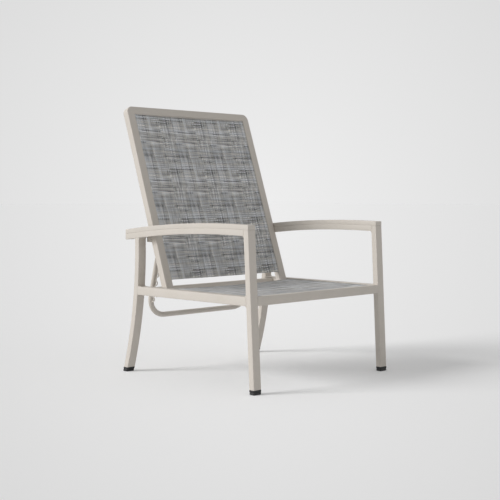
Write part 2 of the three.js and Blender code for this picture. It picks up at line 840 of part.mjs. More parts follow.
function stayRack(side) {
  const back = -stayTubeRadius - fitGap;
  const front = back - rackStrip;
  const top = -(lowestTooth - toothPitch * (toothCount - 1)) + toothRadius;
  const low = -lowestTooth - toothRadius;
  const x0 = side * stayHalfWidth - rackThickness / 2;
  const holes = [];
  let solid = sidePrism(box(front, back, low, top), x0, x0 + rackThickness);
  for (let i = 0; i < toothCount; i += 1) {
    const z = -(lowestTooth - toothPitch * i);
    const tip = arc(-toothCentreOffset, z, toothRadius, Math.PI / 2, Math.PI * 1.5, toothSteps);
    const outline = [[back, z - toothRadius], [back, z + toothRadius], ...tip];
    solid = solid.add(sidePrism(outline, x0, x0 + rackThickness));
    holes.push(barAlongX(toothHoleRadius, x0 - cutOver, x0 + rackThickness + cutOver, -toothCentreOffset, z));
  }
  for (const hole of holes) solid = solid.subtract(hole);
  return solid;
}

function stayBushing(side) {
  const sleeve = barAlongX(stayBushRadius, ...span(side, stayLegInner, stayLegOuter + fitGap * 2), 0, 0);
  const flange = barAlongX(stayBushFlange, ...span(side, stayLegOuter + fitGap, backInner - fitGap), 0, 0);
  const [x0, x1] = span(side, stayLegInner - cutOver, backInner + cutOver);
  return sleeve.add(flange).subtract(barAlongX(stayBoltRadius + boltClearance, x0, x1, 0, 0));
}

// Assembly

const chair = new THREE.Group();
const backGroup = new THREE.Group();
backGroup.position.set(0, hingeDepth, hingeHeight);
backGroup.rotation.x = -backLean;
const stayGroup = new THREE.Group();
stayGroup.position.set(0, pivotDepth, pivotHeight);
stayGroup.rotation.x = stayLean;
chair.add(backGroup, stayGroup);

function place(group, name, solid, material) {
  const mesh = new THREE.Mesh(toGeometry(solid), material);
  mesh.name = name;
  group.add(mesh);
}

for (const [word, side] of [['left', -1], ['right', 1]]) {
  place(chair, `front_leg_${word}`, leg(frontLeg, side, armCapThickness), powderCoat);
  place(chair, `rear_leg_${word}`, leg(rearLeg, side, armThickness), powderCoat);
  place(chair, `glide_front_${word}`, glide(frontLeg, side), blackPlastic);
  place(chair, `glide_rear_${word}`, glide(rearLeg, side), blackPlastic);
  place(chair, `arm_rail_${word}`, armRail(side), powderCoat);
  place(chair, `arm_cap_${word}`, armCap(side), powderCoat);
  place(chair, `arm_plug_${word}`, armPlug(side), powderCoat);
  place(chair, `side_rail_${word}`, sideRail(side), powderCoat);
  place(chair, `catch_bracket_${word}`, catchBracket(side), powderCoat);
  place(chair, `catch_pin_${word}`, catchPin(side), zincSteel);
  place(chair, `seat_spline_${word}`, seatSpline(side), splineRod);
  place(chair, `hinge_bolt_${word}`, hingeBolt(side), zincSteel);
  place(chair, `hinge_nut_${word}`, hingeNut(side), zincSteel);
  place(chair, `hinge_washer_${word}`, hingeWasher(side), nylon);

  place(backGroup, `back_rail_${word}`, backSideRail(side), powderCoat);
  place(backGroup, `back_spline_${word}`, backSpline(side), splineRod);
  place(backGroup, `hinge_bushing_${word}`, hingeBushing(side), nylon);
  place(chair, `stay_stub_${word}`, stayStub(side), powderCoat);
  place(chair, `stub_plug_${word}`, stubPlug(side), blackPlastic);
  place(chair, `stay_bolt_${word}`, stayBolt(side), zincSteel);
  place(chair, `stay_nut_${word}`, stayNut(side), zincSteel);

  place(stayGroup, `stay_plug_${word}`, stayPlug(side), blackPlastic);
  place(stayGroup, `stay_rack_${word}`, stayRack(side), powderCoat);
  place(stayGroup, `stay_bushing_${word}`, stayBushing(side), nylon);
}

place(chair, 'front_rail', frontRail(), powderCoat);
place(chair, 'rear_rail', rearRail(), powderCoat);
place(chair, 'seat_sling', seatSling(), slingFabric);
place(backGroup, 'back_top_rail', backTopRail(), powderCoat);
place(backGroup, 'back_spreader', backSpreader(), powderCoat);
place(backGroup, 'back_sling', backSling(), slingFabric);
place(stayGroup, 'stay_bar', stayBar(), powderCoat);

// The origin goes to the middle of the overall box, on the ground
const overall = new THREE.Box3().setFromObject(chair, true);
chair.position.y = -(overall.min.y + overall.max.y) / 2;

export default chair;
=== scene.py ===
import math

import bmesh
import bpy
import numpy as np
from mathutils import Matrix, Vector


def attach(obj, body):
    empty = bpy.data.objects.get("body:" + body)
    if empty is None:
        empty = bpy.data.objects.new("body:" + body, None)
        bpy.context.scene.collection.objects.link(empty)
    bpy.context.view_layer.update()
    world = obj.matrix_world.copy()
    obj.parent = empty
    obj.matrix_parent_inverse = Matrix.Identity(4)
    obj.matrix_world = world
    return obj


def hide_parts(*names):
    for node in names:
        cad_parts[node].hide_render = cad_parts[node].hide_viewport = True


# A sling patio chair: powder coated aluminium tube, woven slings and a back that reclines on a stay.
# Lengths are millimetres in the chair's frame until a mesh is made, which is in metres.

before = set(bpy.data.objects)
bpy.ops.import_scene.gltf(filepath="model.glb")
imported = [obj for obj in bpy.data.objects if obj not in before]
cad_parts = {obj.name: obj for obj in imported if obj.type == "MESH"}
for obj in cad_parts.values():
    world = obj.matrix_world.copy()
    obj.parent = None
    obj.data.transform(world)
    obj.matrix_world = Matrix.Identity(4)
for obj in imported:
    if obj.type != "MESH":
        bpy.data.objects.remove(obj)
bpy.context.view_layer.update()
scene = bpy.context.scene

MM = 0.001

# Camera and framing

CAMERA_PLACE = (-3.070637, -3.059346, 0.730456)
CAMERA_TURN = (86.95, 0.0, -45.042)
CAMERA_LENS = 75.6

camera_data = bpy.data.cameras.new("studio_camera")
camera_data.lens = CAMERA_LENS
camera_data.sensor_width = 36.0
camera = bpy.data.objects.new("studio_camera", camera_data)
camera.location = CAMERA_PLACE
camera.rotation_euler = [math.radians(a) for a in CAMERA_TURN]
scene.collection.objects.link(camera)
scene.camera = camera

# Colours and nodes


def linear(code):
    """An sRGB hex colour as linear red, green, blue and alpha."""
    parts = [int(code[i : i + 2], 16) / 255 for i in (1, 3, 5)]
    return tuple(c / 12.92 if c <= 0.04045 else ((c + 0.055) / 1.055) ** 2.4 for c in parts) + (1.0,)


def add(tree, kind, inputs=None, **settings):
    """A node with its settings, and its inputs by name or number, each a value or what to link."""
    made = tree.nodes.new(kind)
    for key, value in settings.items():
        setattr(made, key, value)
    for key, value in (inputs or {}).items():
        socket = made.inputs[key]
        if isinstance(value, bpy.types.Node):
            tree.links.new(value.outputs[0], socket)
        elif isinstance(value, bpy.types.NodeSocket):
            tree.links.new(value, socket)
        else:
            socket.default_value = value
    return made


def blank_material(name):
    """A material with only its output node, and its tree."""
    material = bpy.data.materials.new(name)
    material.use_nodes = True
    tree = material.node_tree
    tree.nodes.clear()
    return material, tree, add(tree, "ShaderNodeOutputMaterial")


# Finishes


def powder_coat():
    """Polyester powder coat, sprayed on and baked: satin, with a fine orange peel and faint mica."""
    material, tree, output = blank_material("satin champagne powder coat")
    place = add(tree, "ShaderNodeTexCoord").outputs["Object"]
    # orange peel of about 1.2 mm, drawn at 1.8 mm so that it shows
    peel = add(tree, "ShaderNodeTexNoise", {"Vector": place, "Scale": 1 / (1.8 * MM), "Detail": 2.0})
    # how thick the film lies, over hands' breadths of tube
    film = add(tree, "ShaderNodeTexNoise", {"Vector": place, "Scale": 1 / (90 * MM), "Detail": 3.0})
    # mica flakes of 0.1 mm, drawn at 1 mm so that they show
    flake = add(tree, "ShaderNodeTexVoronoi", {"Vector": place, "Scale": 1 / (1.0 * MM)})
    flake_tone = add(tree, "ShaderNodeSeparateColor", {"Color": flake.outputs["Color"]})
    colour = add(
        tree,
        "ShaderNodeMix",
        {"Factor": film.outputs["Fac"], "A": linear(COAT_DEEP), "B": linear(COAT_PALE)},
        data_type="RGBA",
    )
    glint = add(
        tree,
        "ShaderNodeMapRange",
        {"Value": flake_tone.outputs["Red"], "From Min": 0.86, "From Max": 1.0, "To Max": 0.35},
    )
    tinted = add(
        tree,
        "ShaderNodeMix",
        {"Factor": glint.outputs["Result"], "A": colour.outputs["Result"], "B": linear(COAT_MICA)},
        data_type="RGBA",
    )
    rough = add(
        tree,
        "ShaderNodeMapRange",
        {"Value": film.outputs["Fac"], "From Min": 0.3, "From Max": 0.7, "To Min": 0.40, "To Max": 0.50},
    )
    bump = add(
        tree,
        "ShaderNodeBump",
        {"Height": peel.outputs["Fac"], "Strength": 0.25, "Distance": 0.05 * MM},
    )
    shader = add(
        tree,
        "ShaderNodeBsdfPrincipled",
        {
            "Base Color": tinted.outputs["Result"],
            "Roughness": rough.outputs["Result"],
            "IOR": 1.5,
            "Normal": bump,
        },
    )
    tree.links.new(shader.outputs[0], output.inputs["Surface"])
    return material


def moulded_plastic(name, colour, worn, roughness, grain):
    """An injection moulding: the grain is the tool's spark-eroded texture, in millimetres."""
    material, tree, output = blank_material(name)
    place = add(tree, "ShaderNodeTexCoord").outputs["Object"]
    texture = add(tree, "ShaderNodeTexNoise", {"Vector": place, "Scale": 1 / (grain * MM), "Detail": 3.0})
    flow = add(tree, "ShaderNodeTexNoise", {"Vector": place, "Scale": 1 / (14 * MM), "Detail": 2.0})
    tone = add(
        tree,
        "ShaderNodeMix",
        {"Factor": flow.outputs["Fac"], "A": linear(colour), "B": linear(worn)},
        data_type="RGBA",
    )
    rough = add(
        tree,
        "ShaderNodeMapRange",
        {"Value": flow.outputs["Fac"], "To Min": roughness - 0.08, "To Max": roughness + 0.08},
    )
    bump = add(
        tree,
        "ShaderNodeBump",
        {"Height": texture.outputs["Fac"], "Strength": 0.3, "Distance": 0.06 * MM},
    )
    shader = add(
        tree,
        "ShaderNodeBsdfPrincipled",
        {
            "Base Color": tone.outputs["Result"],
            "Roughness": rough.outputs["Result"],
            "IOR": 1.49,
            "Normal": bump,
        },
    )
    tree.links.new(shader.outputs[0], output.inputs["Surface"])
    return material


def zinc_plate():
    """Bright zinc on steel, barrel plated: pale grey metal with cloudy passivation and fine scuffs."""
    material, tree, output = blank_material("barrel plated zinc on steel")
    place = add(tree, "ShaderNodeTexCoord").outputs["Object"]
    # clouds of 5 mm in the passivation, and tumbling scuffs of 0.6 mm
    cloud = add(tree, "ShaderNodeTexNoise", {"Vector": place, "Scale": 1 / (5 * MM), "Detail": 3.0})
    scuff = add(tree, "ShaderNodeTexNoise", {"Vector": place, "Scale": 1 / (0.6 * MM), "Detail": 2.0})
    tone = add(
        tree,
        "ShaderNodeMix",
        {"Factor": cloud.outputs["Fac"], "A": linear(ZINC_DEEP), "B": linear(ZINC_PALE)},
        data_type="RGBA",
    )
    rough = add(
        tree,
        "ShaderNodeMapRange",
        {"Value": cloud.outputs["Fac"], "From Min": 0.3, "From Max": 0.7, "To Min": 0.26, "To Max": 0.42},
    )
    bump = add(
        tree,
        "ShaderNodeBump",
        {"Height": scuff.outputs["Fac"], "Strength": 0.2, "Distance": 0.03 * MM},
    )
    shader = add(
        tree,
        "ShaderNodeBsdfPrincipled",
        {
            "Base Color": tone.outputs["Result"],
            "Metallic": 1.0,
            "Roughness": rough.outputs["Result"],
            "Normal": bump,
        },
    )
    tree.links.new(shader.outputs[0], output.inputs["Surface"])
    return material


def woven_sling():
    """Vinyl coated polyester yarn in a two by two basket weave: space-dyed in greys, satin, slubby.

    The dyed yarns come round again after a repeat, so the cloth's pattern does too.
    """
    material, tree, output = blank_material("woven vinyl coated polyester")

    def draw(number, seed):
        """A random value between 0 and 1 for each yarn."""
        shifted = add(tree, MATHS, {0: number, 1: seed}, operation="ADD")
        return add(tree, WHITE_NOISE, {"W": shifted}, noise_dimensions="1D")

    def place_in(kind, distance):
        """How far into a repeat of the pattern, which pair of yarns it is, and how far across a yarn."""
        reach = kind["repeat"] * kind["pair"] * MM
        within = add(tree, MATHS, {0: distance, 1: reach}, operation="FLOORED_MODULO")
        count = add(tree, MATHS, {0: within, 1: kind["pair"] * MM}, operation="DIVIDE")
        number = add(tree, MATHS, {0: count}, operation="FLOOR")
        yarns = add(tree, MATHS, {0: count, 1: 2.0}, operation="MULTIPLY")
        part = add(tree, MATHS, {0: yarns}, operation="FRACT")
        return within, number, part

    def dye(kind, number, along_yarn):
        """The tone along a space-dyed yarn, which changes about once in each run of millimetres."""
        seed = kind["run_seed"]
        start = add(tree, MATHS, {0: draw(number, seed), 1: RUN_SHIFT}, operation="MULTIPLY")
        given = {0: along_yarn, 1: 1 / (kind["run"] * MM), 2: start}
        steps = add(tree, MATHS, given, operation="MULTIPLY_ADD")
        tones = []
        for nearest in ("FLOOR", "CEIL"):
            whole = add(tree, MATHS, {0: steps}, operation=nearest)
            point = add(tree, "ShaderNodeCombineXYZ", {"X": whole, "Y": number, "Z": seed})
            tones.append(add(tree, WHITE_NOISE, {"Vector": point}))
        part = add(tree, MATHS, {0: steps}, operation="FRACT")
        given = {"Value": part, "To Min": tones[0], "To Max": tones[1]}
        return add(tree, "ShaderNodeMapRange", given, interpolation_type="SMOOTHSTEP")

    def dyed(kind, number, tone):
        """A yarn's colour: between its two dyes, as light as the tone there and the yarn's own level."""
        given = {
            "Factor": draw(number, kind["hue_seed"]),
            "A": linear(kind["cool"]),
            "B": linear(kind["warm"]),
        }
        hue = add(tree, "ShaderNodeMix", given, data_type="RGBA")
        own = draw(number, kind["level_seed"])
        levels = []
        for value, swing in ((tone, kind["swing"]), (own, kind["spread"])):
            given = {0: value, 1: 2 * swing, 2: 1 - swing}
            levels.append(add(tree, MATHS, given, operation="MULTIPLY_ADD"))
        level = add(tree, MATHS, {0: levels[0], 1: levels[1]}, operation="MULTIPLY")
        given = {0: hue.outputs["Result"], "Scale": level}
        return add(tree, "ShaderNodeVectorMath", given, operation="SCALE")

    def crown(part):
        """A yarn's round back across its width, from 0 at its edges to 1."""
        away = add(tree, MATHS, {0: part, 1: 2.0, 2: -1.0}, operation="MULTIPLY_ADD")
        square = add(tree, MATHS, {0: away, 1: away}, operation="MULTIPLY")
        return add(tree, MATHS, {0: 1.0, 1: square}, operation="SUBTRACT")

    cloth = add(tree, "ShaderNodeUVMap", uv_map="cloth")
    split = add(tree, "ShaderNodeSeparateXYZ", {"Vector": cloth})
    shifted = add(tree, MATHS, {0: split.outputs["X"], 1: REPEAT_FROM * MM}, operation="SUBTRACT")
    across, warp_number, warp_part = place_in(WARP, shifted)
    along, weft_number, weft_part = place_in(WEFT, split.outputs["Y"])
    warp_tone = dye(WARP, warp_number, along)
    weft_tone = dye(WEFT, weft_number, across)

    # a few pairs are of another dye, for part of their length, and the warp's first throughout
    chosen = add(tree, MATHS, {0: draw(warp_number, PALE_SEED), 1: PALE_SHARE}, operation="LESS_THAN")
    light_run = add(tree, MATHS, {0: warp_tone, 1: PALE_ABOVE}, operation="GREATER_THAN")
    in_part = add(tree, MATHS, {0: chosen, 1: light_run}, operation="MULTIPLY")
    first = add(tree, MATHS, {0: warp_number, 1: PALE_STRIPE}, operation="LESS_THAN")
    pale = add(tree, MATHS, {0: in_part, 1: first}, operation="MAXIMUM")
    chosen = add(tree, MATHS, {0: draw(weft_number, DARK_SEED), 1: DARK_SHARE}, operation="LESS_THAN")
    deep_run = add(tree, MATHS, {0: weft_tone, 1: DARK_BELOW}, operation="LESS_THAN")
    dark = add(tree, MATHS, {0: chosen, 1: deep_run}, operation="MULTIPLY")
    given = {"Factor": pale, "A": dyed(WARP, warp_number, warp_tone), "B": linear(PALE_YARN)}
    warp = add(tree, "ShaderNodeMix", given, data_type="RGBA")
    given = {"Factor": dark, "A": dyed(WEFT, weft_number, weft_tone), "B": linear(DARK_YARN)}
    weft = add(tree, "ShaderNodeMix", given, data_type="RGBA")

    # basket weave: a pair of warp yarns lies on top at every second crossing
    both = add(tree, MATHS, {0: warp_number, 1: weft_number}, operation="ADD")
    parity = add(tree, MATHS, {0: both, 1: 2.0}, operation="FLOORED_MODULO")
    warp_over = add(tree, MATHS, {0: parity, 1: 0.5}, operation="LESS_THAN")
    given = {"Factor": warp_over, "A": weft.outputs["Result"], "B": warp.outputs["Result"]}
    on_top = add(tree, "ShaderNodeMix", given, data_type="RGBA")
    height = add(tree, MATHS, {0: crown(warp_part), 1: crown(weft_part)}, operation="MULTIPLY")
    # painted shade: the colour darkens from the yarns' crowns into the gaps between them, where shade falls
    given = {"Value": height, "From Max": 0.5, "To Min": GAP_PAINTED_SHADE, "To Max": 1.0}
    shade = add(tree, "ShaderNodeMapRange", given)
    given = {0: on_top.outputs["Result"], "Scale": shade}
    colour = add(tree, "ShaderNodeVectorMath", given, operation="SCALE")
    rough = add(tree, "ShaderNodeMapRange", {"Value": height, "To Min": 0.75, "To Max": 0.55})
    bump = add(tree, "ShaderNodeBump", {"Height": height, "Strength": 0.6, "Distance": 0.25 * MM})
    shader = add(
        tree,
        "ShaderNodeBsdfPrincipled",
        {"Base Color": colour, "Roughness": rough, "IOR": 1.45, "Normal": bump},
    )
    tree.links.new(shader.outputs[0], output.inputs["Surface"])
    return material


MATHS = "ShaderNodeMath"
WHITE_NOISE = "ShaderNodeTexWhiteNoise"

COAT_DEEP = "#c6bfb5"
COAT_PALE = "#cec7bf"
COAT_MICA = "#efe9df"
ZINC_DEEP = "#a9adb1"
ZINC_PALE = "#c6c9cc"

# Pairs of yarns of about 1.2 mm, drawn about twice as coarse so that they show, and after how many
# pairs the pattern comes round again. The run is how long a tone lasts along a yarn, the swing how far it goes
# along it, and the spread how far it goes from yarn to yarn.
WARP = {
    "pair": 5.2,
    "repeat": 39,
    "cool": "#bcc0c6",
    "warm": "#d2cec8",
    "run": 40,
    "swing": 0.45,
    "spread": 0.34,
    "run_seed": 5.3,
    "hue_seed": 40.5,
    "level_seed": 12.5,
}
WEFT = {
    "pair": 4.4,
    "repeat": 50,
    "cool": "#b4b9c0",
    "warm": "#cdc8c0",
    "run": 62,
    "swing": 0.66,
    "spread": 0.42,
    "run_seed": 9.7,
    "hue_seed": 90.5,
    "level_seed": 22.5,
}
REPEAT_FROM = 17
RUN_SHIFT = 37.0
# The pale and the dark yarns: their share, and the part of their length that shows.
PALE_YARN = "#f0f0ec"
DARK_YARN = "#303338"
PALE_SHARE = 0.07
PALE_ABOVE = 0.5
PALE_STRIPE = 0.5
DARK_SHARE = 0.20
DARK_BELOW = 0.5
PALE_SEED = 70.5
DARK_SEED = 53.5
# Painted shade in the gaps between yarns: how much of its colour the cloth keeps there.
GAP_PAINTED_SHADE = 0.42

COAT = powder_coat()
# Polypropylene glides and plugs: near black and dull, a little paler where rubbed.
BLACK = moulded_plastic("black moulded polypropylene", "#1b1b1c", "#29292b", 0.52, 0.7)
# Undyed nylon washers and bushes: warm off-white, with a waxy gloss.
NYLON = moulded_plastic("natural moulded nylon", "#d6d2c7", "#dfdcd3", 0.42, 0.9)
# Extruded vinyl rod in the hems: cool off-white, smooth along its length.
VINYL = moulded_plastic("extruded vinyl rod", "#d7dadb", "#e0e2e2", 0.38, 1.2)
ZINC = zinc_plate()
CLOTH = woven_sling()

# The chair's sizes, as in the CAD source. Depths run back from the front toe.

TOE = -404.426
LEG_INNER = 352.5
LEG_OUTER = 390.5
LEG_DEPTH = 25
TUBE_ROUND = 2.2
SEAM_ROUND = 0.9
WELD = 8
WELD_SINK = 1.5
JOINT_GAP = 0.1
FRONT_LEAN = math.tan(math.radians(3))
REAR_FACE = 656.4
REAR_STRAIGHT = 515
REAR_KICK = 82.1
REAR_BEND = (REAR_STRAIGHT**2 + REAR_KICK**2) / (2 * REAR_KICK)
UNDER_ARM = 600
GLIDE_HEIGHT = 18
GLIDE_LIP = 0.6
# depth and height of the highest point of the arch
ARM_CREST = (198.5, 621)
ARM_RADIUS = 4200
CAP_THICK = 18
ARM_THICK = 41
ARM_REAR = 741.5
ARM_PLUG = 3
SEAT_TOP = 356.4
SEAT_RAIL = 34.2
# its front face, its rear face and its top
REAR_RAIL = (616.6, 638.6, 351.6)
SEAT_SLOT = 352.1
SEAT_SLING_REAR = 521.6
SEAT_SAG = 6
BORE = 3.2
BORE_BEHIND = 5.96
SLOT = 2.4
# depth and height of the hinge bolts
HINGE = (541.6, 340)
LEAN = math.radians(18.77)
BACK_INNER = 313.4
BACK_OUTER = 350
BACK_HALF = 15
BACK_TOP = 790.4
BACK_RAIL = 36.6
BACK_TOP_RAIL = 31.3
BACK_CORNER = 28
BACK_SLOT = -10.3
# the lower and upper end of the cloth, up the slope from the hinge
BACK_SLING = (45.5, 758.1)
BACK_SAG = 8
# from its front to its rear and from its lower edge to its upper, along the back
SPREADER = (2, 13.2, 68, 93)
PIVOT = (635.2503, 546)
STUB_LOW = 536
STUB_HIGH = 562
STUB_REAR = 650.4503
STUB_PLUG = 3
STAY_LEAN = math.radians(15.149575)
STAY_HALF = 291
STAY_RADIUS = 11
STAY_LENGTH = 334.1468
STAY_BEND = 90
STAY_TOP = 14
STAY_STEPS = (-60, -140, -200)
ROD = 2.3
LOOP_RADIUS = 9.2
LOOP_CENTRE = -14.5
LOOP_FILLET = 2.5
LOOP_PITCH = 35.7
LOOP_COUNT = 5
LOWEST_LOOP = -255.9968
# The angle in degrees past which an edge of each kind of piece stays sharp
TUBE_EDGE = 30
MOULDED_EDGE = 40
ROD_EDGE = 50
CLOTH_EDGE = 60
HALVES = (("left", -1), ("right", 1))

# Places: from a piece's own lines to the row frame, still in millimetres


def in_chair(x, y, z):
    return x, y + TOE, z


def in_back(x, y, z):
    """From the back's slope: y behind the rails' middle, z up the slope from the hinge."""
    return in_chair(
        x,
        HINGE[0] + y * math.cos(LEAN) + z * math.sin(LEAN),
        HINGE[1] - y * math.sin(LEAN) + z * math.cos(LEAN),
    )


def in_stay(x, y, z):
    """From the stay's own lines: z up its legs from the pivot, y square to them."""
    return in_chair(
        x,
        PIVOT[0] + y * math.cos(STAY_LEAN) - z * math.sin(STAY_LEAN),
        PIVOT[1] + y * math.sin(STAY_LEAN) + z * math.cos(STAY_LEAN),
    )


def front_line(offset, z):
    """Depth of a line on the front leg, so far behind its face, at a height: it leans back, straight."""
    return offset + z * FRONT_LEAN


def rear_line(offset, z):
    """Depth of a line on the rear leg: upright above, kicked back at its foot."""
    drop = max(REAR_STRAIGHT - z, 0)
    radius = REAR_BEND - offset
    return REAR_FACE + offset + radius - math.sqrt(radius**2 - drop**2)


def arm_line(below, y):
    """Height of a line of the arm, so far below its top, at a depth."""
    radius = ARM_RADIUS - below
    return ARM_CREST[1] - ARM_RADIUS + math.sqrt(radius**2 - (y - ARM_CREST[0]) ** 2)


def back_rear(z):
    """Depth of the rear face of the back's rails at a height."""
    return HINGE[0] + (z - HINGE[1]) * math.tan(LEAN) + BACK_HALF / math.cos(LEAN)


# Forms: closed shells as corners and faces


def arc(ca, cb, radius, start, end, steps):
    angles = np.linspace(math.radians(start), math.radians(end), steps + 1)
    return [(ca + radius * math.cos(t), cb + radius * math.sin(t)) for t in angles]


def rounded(a0, a1, b0, b1, radius, steps=4):
    """A rectangle with round corners."""
    r = max(min(radius, (a1 - a0) / 2 - 0.01, (b1 - b0) / 2 - 0.01), 0.02)
    return (
        arc(a1 - r, b0 + r, r, -90, 0, steps)
        + arc(a1 - r, b1 - r, r, 0, 90, steps)
        + arc(a0 + r, b1 - r, r, 90, 180, steps)
        + arc(a0 + r, b0 + r, r, 180, 270, steps)
    )


def span(side, near, far):
    return (near, far) if side > 0 else (-far, -near)


def swept(outlines, place):
    """A shell through a row of (level, outline), closed at both ends."""
    count = len(outlines[0][1])
    corners = [place(a, b, level) for level, outline in outlines for a, b in outline]
    faces = [tuple(range(count)), tuple(range(len(corners) - count, len(corners)))]
    for row in range(0, len(corners) - count, count):
        for i in range(count):
            j = (i + 1) % count
            faces.append((row + i, row + j, row + count + j, row + count + i))
    return corners, faces


def eased(levels, outline, round_start=0.0, round_end=0.0, steps=4):
    """The (level, outline) rows of a tube whose ends may be rounded off. outline takes an inset."""
    start, end = levels[0], levels[-1]
    way = 1 if end > start else -1
    rows = []
    for radius, tip, inward in ((round_start, start, way), (round_end, end, -way)):
        turn = []
        for k in range(steps if radius else 0):
            angle = math.pi / 2 * k / steps
            inset = radius * (1 - math.sin(angle))
            turn.append((tip + inward * radius * (1 - math.cos(angle)), outline(inset)))
        rows.append(turn)
    inner = [
        (level, outline(0.0))
        for level in levels
        if (level - start) * way >= round_start and (end - level) * way >= round_end
    ]
    first = [] if not round_start else [(start + way * round_start, outline(0.0))]
    last = [] if not round_end else [(end - way * round_end, outline(0.0))]
    middle = [row for row in inner if row[0] not in (start + way * round_start, end - way * round_end)]
    if not round_start:
        middle = [(start, outline(0.0))] + [row for row in middle if row[0] != start]
    if not round_end:
        middle = [row for row in middle if row[0] != end] + [(end, outline(0.0))]
    return rows[0] + first + middle + last + rows[1][::-1]


def turned(profile, sides, place):
    """A turned form: the profile gives (radius, length) pairs, the first and last on the axis."""
    corners, faces, rings = [], [], []
    for radius, at in profile:
        if radius < 1e-6:
            rings.append([len(corners)])
            corners.append(place(0.0, 0.0, at))
            continue
        rings.append(list(range(len(corners), len(corners) + sides)))
        for k in range(sides):
            angle = 2 * math.pi * k / sides
            corners.append(place(radius * math.cos(angle), radius * math.sin(angle), at))
    for one, two in zip(rings, rings[1:]):
        for k in range(sides):
            j = (k + 1) % sides
            if len(one) == 1 and len(two) == 1:
                continue
            if len(one) == 1:
                faces.append((one[0], two[j], two[k]))
            elif len(two) == 1:
                faces.append((one[k], one[j], two[0]))
            else:
                faces.append((one[k], one[j], two[j], two[k]))
    return corners, faces


# Pieces


def mesh_of(name, shells, material, sharp):
    """A mesh in metres from closed shells in millimetres, smooth but for edges sharper than an angle."""
    form = bmesh.new()
    for corners, faces in shells:
        made = [form.verts.new([c * MM for c in corner]) for corner in corners]
        for face in faces:
            form.faces.new([made[i] for i in face])
    bmesh.ops.remove_doubles(form, verts=form.verts, dist=1e-7)
    bmesh.ops.dissolve_degenerate(form, edges=form.edges, dist=1e-7)
    bmesh.ops.recalc_face_normals(form, faces=form.faces)
    mesh = bpy.data.meshes.new(name)
    form.to_mesh(mesh)
    form.free()
    dress(mesh, material, sharp)
    return mesh


def dress(mesh, material, sharp):
    mesh.materials.clear()
    mesh.materials.append(material)
    mesh.shade_smooth()
    mesh.set_sharp_from_angle(angle=math.radians(sharp))


def piece(name, body, mesh, slot, *nodes):
    """An object of the chair that rides on a body and stands for CAD nodes."""
    made = bpy.data.objects.new(name, mesh)
    scene.collection.objects.link(made)
    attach(made, body)
    if nodes:
        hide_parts(*nodes)
    return made


# Round tube and rod, swept along a path


def tube_along():
    """Geometry Nodes: a round tube swept along a path, closed at its ends."""
    tree = bpy.data.node_groups.new("tube_along", "GeometryNodeTree")
    face = tree.interface
    face.new_socket("Path", in_out="INPUT", socket_type="NodeSocketGeometry")
    names = {"Radius": face.new_socket("Radius", in_out="INPUT", socket_type="NodeSocketFloat").identifier}
    names["Sides"] = face.new_socket("Sides", in_out="INPUT", socket_type="NodeSocketInt").identifier
    names["Finish"] = face.new_socket("Finish", in_out="INPUT", socket_type="NodeSocketMaterial").identifier
    face.new_socket("Tube", in_out="OUTPUT", socket_type="NodeSocketGeometry")
    given = add(tree, "NodeGroupInput")
    curve = add(tree, "GeometryNodeMeshToCurve", {"Mesh": given.outputs["Path"]})
    section = add(
        tree,
        "GeometryNodeCurvePrimitiveCircle",
        {"Resolution": given.outputs["Sides"], "Radius": given.outputs["Radius"]},
        mode="RADIUS",
    )
    tube = add(
        tree,
        "GeometryNodeCurveToMesh",
        {"Curve": curve, "Profile Curve": section.outputs["Curve"], "Fill Caps": True},
    )
    smooth = add(tree, "GeometryNodeSetShadeSmooth", {"Geometry": tube})
    done = add(tree, "GeometryNodeSetMaterial", {"Geometry": smooth, "Material": given.outputs["Finish"]})
    add(tree, "NodeGroupOutput", {"Tube": done})
    return tree, names


def grown(name, start, tree, names, values):
    """The plain mesh that a tree makes from a start mesh."""
    holder = bpy.data.objects.new(name, start)
    scene.collection.objects.link(holder)
    nodes = holder.modifiers.new("maker", "NODES")
    nodes.node_group = tree
    for key, value in values.items():
        nodes[names[key]] = value
    bpy.context.view_layer.update()
    ready = holder.evaluated_get(bpy.context.evaluated_depsgraph_get())
    mesh = bpy.data.meshes.new_from_object(ready)
    bpy.data.objects.remove(holder)
    mesh.name = name
    return mesh


def paths(name, lines):
    """A mesh of bare edges through rows of points in millimetres."""
    corners, edges = [], []
    for line in lines:
        first = len(corners)
        corners += [tuple(c * MM for c in point) for point in line]
        edges += [(i, i + 1) for i in range(first, len(corners) - 1)]
    mesh = bpy.data.meshes.new(name)
    mesh.from_pydata(corners, edges, [])
    return mesh


TUBE, TUBE_NAMES = tube_along()


# Frame: legs, arms and rails


def leg_form(line, side, top_below):
    """A rectangular tube along a leg's line, cut level below and to the arm's slope above."""
    x0, x1 = span(side, LEG_INNER, LEG_OUTER)
    outline = rounded(x0, x1, 0, LEG_DEPTH, TUBE_ROUND)
    levels = list(np.linspace(GLIDE_HEIGHT, REAR_STRAIGHT, 28)) + ["top"]

    def place(x, offset, level):
        if level == "top":
            y = line(offset, UNDER_ARM)
            return in_chair(x, y, arm_line(top_below, y) - JOINT_GAP)
        return in_chair(x, line(offset, level), level)

    return swept([(level, outline) for level in levels], place)


def weld_form(side, corner, da, db, inset=0.9, steps=6):
    """The round fillet that a ground weld leaves in a corner, corner (y, z), towards da and db."""
    x0, x1 = span(side, LEG_INNER + inset, LEG_OUTER - inset)
    centre = (corner[0] + da * WELD, corner[1] + db * WELD)
    start = math.degrees(math.atan2(0, -da))
    turn = 90 if da * db > 0 else -90
    bow = arc(centre[0], centre[1], WELD, start, start + turn, steps)
    outline = [(corner[0] - da * WELD_SINK, corner[1] - db * WELD_SINK)]
    outline += [(corner[0] - da * WELD_SINK, corner[1] + db * WELD)] + bow
    outline += [(corner[0] + da * WELD, corner[1] - db * WELD_SINK)]
    return swept([(x0, outline), (x1, outline)], lambda y, z, x: in_chair(x, y, z))


